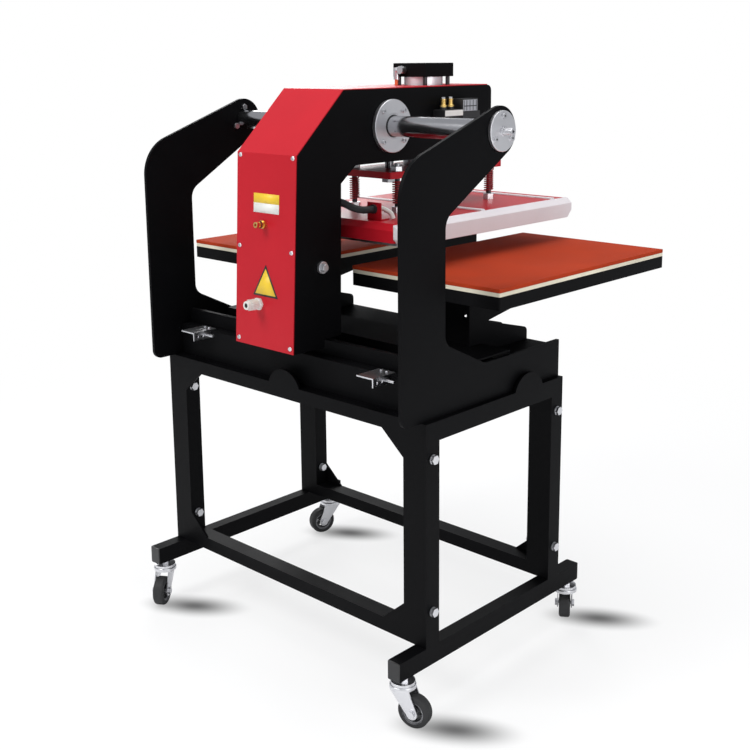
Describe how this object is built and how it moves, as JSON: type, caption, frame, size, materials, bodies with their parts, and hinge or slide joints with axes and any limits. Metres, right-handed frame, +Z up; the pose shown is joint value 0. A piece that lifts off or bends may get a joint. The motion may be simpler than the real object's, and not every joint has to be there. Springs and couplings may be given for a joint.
{
  "type": "dual_station_heat_press",
  "caption": "Pneumatic heat press on a wheeled steel stand: a head slides from one flat platen to the other and presses a heated plate down onto it.",
  "frame": {"origin": "floor level below the middle of the whole machine", "axes": "+Z up, +X to the right of the operator, the operator stands at -Y"},
  "size_m": [0.948, 0.877, 1.293],
  "materials": {
    "black_coat": "satin powder coat, fine texture",
    "red_coat": "semi gloss powder coat",
    "white_coat": "gloss powder coat",
    "steel": "zinc plated and bright",
    "ground_steel": "hard chromed and ground",
    "aluminium": "cast and machined, satin",
    "brass": "turned",
    "silicone": "matt closed foam, orange brown",
    "board": "pale pressed board",
    "rubber": "matt grey black",
    "black_plastic": "fine grained",
    "white_plastic": "moulded",
    "green_plastic": "glossy button",
    "red_plastic": "glossy button",
    "hose": "smooth orange tube"
  },
  "bodies": {
    "stand": {"side_frame_left": "black_coat", "side_frame_right": "black_coat", "cross_frame_rear": "black_coat", "cross_frame_front": "black_coat", "frame_bolts": "steel", "tube_end_plugs": "black_plastic", "caster_mounts": "steel", "base_box": "black_coat", "side_plate_left": "black_coat", "side_plate_right": "black_coat", "slide_shaft": "ground_steel", "shaft_end_flanges": "steel", "shaft_end_screws": "steel", "guide_bar": "steel", "stop_brackets": "steel", "base_screws": "steel", "platen_pedestals": "black_coat", "platen_trays": "black_coat", "base_boards": "board", "silicone_pads": "silicone"},
    "head": {"head_side_left": "black_coat", "head_side_right": "black_coat", "head_cover": "red_coat", "head_flanges": "steel", "bushes": "steel", "head_screws": "steel", "cylinder_mount_plate": "steel", "column_panel": "black_coat", "guide_shoe": "white_plastic", "control_panel": "black_coat", "display_module": "black_plastic", "button_bezels": "steel", "cylinder_barrel": "aluminium", "cylinder_caps": "black_plastic", "air_fitting": "steel", "air_hose": "hose", "valve_block": "black_plastic", "brass_fittings": "brass", "cable_gland": "white_plastic", "power_conduit": "black_plastic"},
    "press": {"piston_rod": "ground_steel", "press_plate": "red_coat", "guide_rods": "ground_steel", "platen_springs": "red_coat"},
    "platen": {"spring_posts": "steel", "platen_cover": "red_coat", "platen_guards": "white_coat", "heating_plate": "aluminium", "cable_bracket": "red_coat"},
    "reset_button_body": {"reset_button": "green_plastic"},
    "start_button_body": {"start_button": "green_plastic"},
    "emergency_stop_body": {"emergency_stop": "red_plastic"},
    "fork_rear_left": {"caster_fork_rear_left": "steel"},
    "wheel_rear_left": {"caster_wheel_rear_left": "rubber"},
    "fork_rear_right": {"caster_fork_rear_right": "steel"},
    "wheel_rear_right": {"caster_wheel_rear_right": "rubber"},
    "fork_front_left": {"caster_fork_front_left": "steel"},
    "wheel_front_left": {"caster_wheel_front_left": "rubber"},
    "fork_front_right": {"caster_fork_front_right": "steel"},
    "wheel_front_right": {"caster_wheel_front_right": "rubber"}
  },
  "joints": [
    {"name": "head_shift", "type": "slide", "parent": "stand", "child": "head", "axis": [1, 0, 0], "range_m": [-0.266, 0.282]},
    {"name": "press_stroke", "type": "slide", "parent": "head", "child": "press", "axis": [0, 0, -1], "range_m": [0, 0.0527]},
    {"name": "platen_float", "type": "slide", "parent": "press", "child": "platen", "axis": [0, 0, 1], "range_m": [0, 0.006], "stiffness_N_per_m": 12000, "deforming": ["platen_springs"]},
    {"name": "reset_press", "type": "slide", "parent": "head", "child": "reset_button_body", "axis": [1, 0, 0], "range_m": [0, 0.003], "stiffness_N_per_m": 600},
    {"name": "start_press", "type": "slide", "parent": "head", "child": "start_button_body", "axis": [0, 1, 0], "range_m": [0, 0.003], "stiffness_N_per_m": 600},
    {"name": "stop_press", "type": "slide", "parent": "head", "child": "emergency_stop_body", "axis": [0, 1, 0], "range_m": [0, 0.005], "stiffness_N_per_m": 800},
    {"name": "swivel_rear_left", "type": "hinge", "parent": "stand", "child": "fork_rear_left", "pos_m": [-0.394, 0.38253, 0.08], "axis": [0, 0, 1], "continuous": true},
    {"name": "roll_rear_left", "type": "hinge", "parent": "fork_rear_left", "child": "wheel_rear_left", "pos_m": [-0.42008, 0.37554, 0.034], "axis": [-0.2588, 0.9659, 0], "continuous": true},
    {"name": "swivel_rear_right", "type": "hinge", "parent": "stand", "child": "fork_rear_right", "pos_m": [0.394, 0.38253, 0.08], "axis": [0, 0, 1], "continuous": true},
    {"name": "roll_rear_right", "type": "hinge", "parent": "fork_rear_right", "child": "wheel_rear_right", "pos_m": [0.37929, 0.40517, 0.034], "axis": [0.8387, 0.5446, 0], "continuous": true},
    {"name": "swivel_front_left", "type": "hinge", "parent": "stand", "child": "fork_front_left", "pos_m": [-0.394, -0.18347, 0.08], "axis": [0, 0, 1], "continuous": true},
    {"name": "roll_front_left", "type": "hinge", "parent": "fork_front_left", "child": "wheel_front_left", "pos_m": [-0.3789, -0.20585, 0.034], "axis": [-0.829, -0.5592, 0], "continuous": true},
    {"name": "swivel_front_right", "type": "hinge", "parent": "stand", "child": "fork_front_right", "pos_m": [0.394, -0.18347, 0.08], "axis": [0, 0, 1], "continuous": true},
    {"name": "roll_front_right", "type": "hinge", "parent": "fork_front_right", "child": "wheel_front_right", "pos_m": [0.40323, -0.1581, 0.034], "axis": [0.9397, -0.342, 0], "continuous": true}
  ]
}
